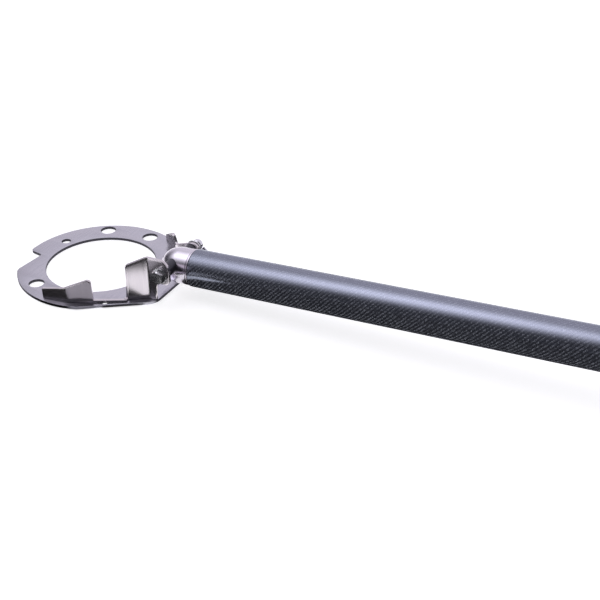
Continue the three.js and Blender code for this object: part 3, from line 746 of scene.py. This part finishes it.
def socket_fastener():
    at_bolt = BAR @ Matrix.Translation((SOCKET_BOLT_X * MM, 0, 0))
    face = SPOT_FACE + 0.3
    outer = face + 1.2
    seat = outer + 0.3
    head = hexagon_mesh("socket_bolt_head", 10, seat, seat + 4, "Z")
    shank = lathe_mesh("socket_bolt_shank", rod_profile(2.9, -seat - 6, seat + 1), "Z", 40)
    add_piece("socket_bolt_finished", join_meshes("socket_bolt_mesh", head, shank), ZINC, "bar", "socket_bolt", at_bolt)
    nut = hexagon_mesh("socket_nut_mesh", 10, -seat, -seat - 5, "Z")
    add_piece("socket_nut_finished", nut, ZINC, "bar", "socket_nut", at_bolt)
    for node, start, end in (("socket_washer_top", face, outer), ("socket_washer_bottom", -outer, -face)):
        lathe(node + "_finished", node, "bar", at_bolt, ZINC, ring_profile(3.3, 6, start, end), "Z", 0.15,
              closed=True, segments=56)


# ---------------------------------------------------------------- camera and light
CAMERA_PLACE = Vector((557.4, -667.9, 483.6))  # from the ring's centre, in millimetres
CAMERA_FORWARD = Vector((-0.371, 0.762, -0.531)).normalized()
CAMERA_RIGHT = Vector((0.899, 0.438, 0)).normalized()
FLOOR_HALF = 6.0
FLOOR_LEVEL = -0.0008
CARD_LEVEL = -0.0002
CARDS = (  # name, shade, corners from the ring's centre in millimetres
    ("card_left_tab", 0.02, ((-45, -135), (20, -135), (20, -84), (-45, -84))),
    ("card_between", 0.65, ((20, -135), (50, -135), (50, -70), (20, -80))),
    ("card_cheek", 0.02, ((50, -125), (72, -125), (86, -46), (50, -46))),
    ("card_under_bar", 0.05, ((100, -22), (130, 200), (5000, 200), (5000, -6000), (-4000, -6000), (60, -115),
                              (114, -96), (114, -60), (100, -55))),
)
OVERHEAD = Vector((-0.37, -0.05, 0.93)).normalized()
OVERHEAD_GLOW = (1.12, 1.1, 1.19, 1)
OVERHEAD_SPREAD = 9
WALL_COLOUR = (0.40, 0.382, 0.425, 1)
DARK_COLOUR = (0.03, 0.03, 0.034, 1)
SKY_STRENGTH = 1.9


def camera():
    up = CAMERA_RIGHT.cross(CAMERA_FORWARD)
    turn = Matrix((CAMERA_RIGHT, up, -CAMERA_FORWARD)).transposed().to_4x4()
    data = bpy.data.cameras.new("camera")
    data.lens = 55.5
    data.sensor_width = 36
    view = bpy.data.objects.new("camera", data)
    bpy.context.collection.objects.link(view)
    view.matrix_world = Matrix.Translation(RING_CENTRE + CAMERA_PLACE * MM) @ turn
    bpy.context.scene.camera = view


def floor():
    half = FLOOR_HALF
    mesh = bpy.data.meshes.new("floor")
    mesh.from_pydata([(-half, -half, 0), (half, -half, 0), (half, half, 0), (-half, half, 0)], [], [(0, 1, 2, 3)])
    paper = bpy.data.objects.new("floor", mesh)
    bpy.context.collection.objects.link(paper)
    paper.location.z = FLOOR_LEVEL
    nodes = Nodes("floor_paper")
    mottle = nodes.noise(nodes.coordinates(), 3, 2)
    mesh.materials.append(nodes.finish(nodes.mix(mottle, (0.82, 0.82, 0.825), (0.8, 0.8, 0.805)), 0.95,
                                       Emission_Color=(1, 1, 1, 1), Emission_Strength=0.72))


def card(name, shade, corners):
    """A matt card just above the floor, seen only in reflections."""
    mesh = bpy.data.meshes.new(name)
    mesh.from_pydata([(x * MM, y * MM, 0) for x, y in corners], [], [tuple(range(len(corners)))])
    sheet = bpy.data.objects.new(name, mesh)
    bpy.context.collection.objects.link(sheet)
    sheet.location = (RING_CENTRE.x, 0, CARD_LEVEL)
    nodes = Nodes(name)
    mottle = nodes.noise(nodes.coordinates(), 40, 2)
    colour = nodes.mix(mottle, (shade, shade, shade), (shade * 1.1, shade * 1.1, shade * 1.15))
    mesh.materials.append(nodes.finish(colour, 0.9, Specular_IOR_Level=0.0))
    sheet.visible_camera = False
    sheet.visible_diffuse = False
    sheet.visible_shadow = False
    sheet.visible_transmission = False


def sky():
    """A soft bright patch overhead, lavender walls behind, dark in front; plain white to the camera."""
    world = bpy.data.worlds.new("studio")
    bpy.context.scene.world = world
    world.use_nodes = True
    tree = world.node_tree
    tree.nodes.clear()
    walls = tree.nodes.new("ShaderNodeBackground")
    tree.links.new(sky_colour(tree), walls.inputs["Color"])
    walls.inputs["Strength"].default_value = SKY_STRENGTH
    backdrop = tree.nodes.new("ShaderNodeBackground")
    backdrop.inputs["Color"].default_value = (1, 1, 1, 1)
    path = tree.nodes.new("ShaderNodeLightPath")
    mix = tree.nodes.new("ShaderNodeMixShader")
    tree.links.new(path.outputs["Is Camera Ray"], mix.inputs[0])
    tree.links.new(walls.outputs[0], mix.inputs[1])
    tree.links.new(backdrop.outputs[0], mix.inputs[2])
    output = tree.nodes.new("ShaderNodeOutputWorld")
    tree.links.new(mix.outputs[0], output.inputs["Surface"])


def sky_colour(tree):
    """Dark in front rising to the walls' colour behind, with the overhead patch added."""
    source = tree.nodes.new("ShaderNodeTexCoord").outputs["Generated"]
    split = tree.nodes.new("ShaderNodeSeparateXYZ")
    tree.links.new(source, split.inputs[0])
    rise = tree.nodes.new("ShaderNodeMapRange")
    tree.links.new(split.outputs[1], rise.inputs["Value"])
    for socket, value in (("From Min", 0.2), ("From Max", 0.7), ("To Min", 0.0), ("To Max", 1.0)):
        rise.inputs[socket].default_value = value
    blend = tree.nodes.new("ShaderNodeMix")
    blend.data_type = "RGBA"
    tree.links.new(rise.outputs[0], blend.inputs["Factor"])
    blend.inputs[6].default_value = DARK_COLOUR
    blend.inputs[7].default_value = WALL_COLOUR
    glow = tree.nodes.new("ShaderNodeMix")
    glow.data_type = "RGBA"
    glow.blend_type = "ADD"
    glow.clamp_result = False
    tree.links.new(overhead_patch(tree, source), glow.inputs["Factor"])
    tree.links.new(blend.outputs[2], glow.inputs[6])
    glow.inputs[7].default_value = OVERHEAD_GLOW
    return glow.outputs[2]


def overhead_patch(tree, direction):
    toward = tree.nodes.new("ShaderNodeVectorMath")
    toward.operation = "DOT_PRODUCT"
    tree.links.new(direction, toward.inputs[0])
    toward.inputs[1].default_value = OVERHEAD
    facing = tree.nodes.new("ShaderNodeMath")
    facing.operation = "MAXIMUM"
    tree.links.new(toward.outputs["Value"], facing.inputs[0])
    facing.inputs[1].default_value = 0
    patch = tree.nodes.new("ShaderNodeMath")
    patch.operation = "POWER"
    tree.links.new(facing.outputs[0], patch.inputs[0])
    patch.inputs[1].default_value = OVERHEAD_SPREAD
    return patch.outputs[0]


def studio():
    floor()
    for name, shade, corners in CARDS:
        card(name, shade, corners)
    sky()
    bpy.context.scene.view_settings.view_transform = "Standard"


ring_plate()
front_flange()
back_flange()
pivot()
clamp_lever()
ferrule()
main_tube()
handle()
camera()
studio()
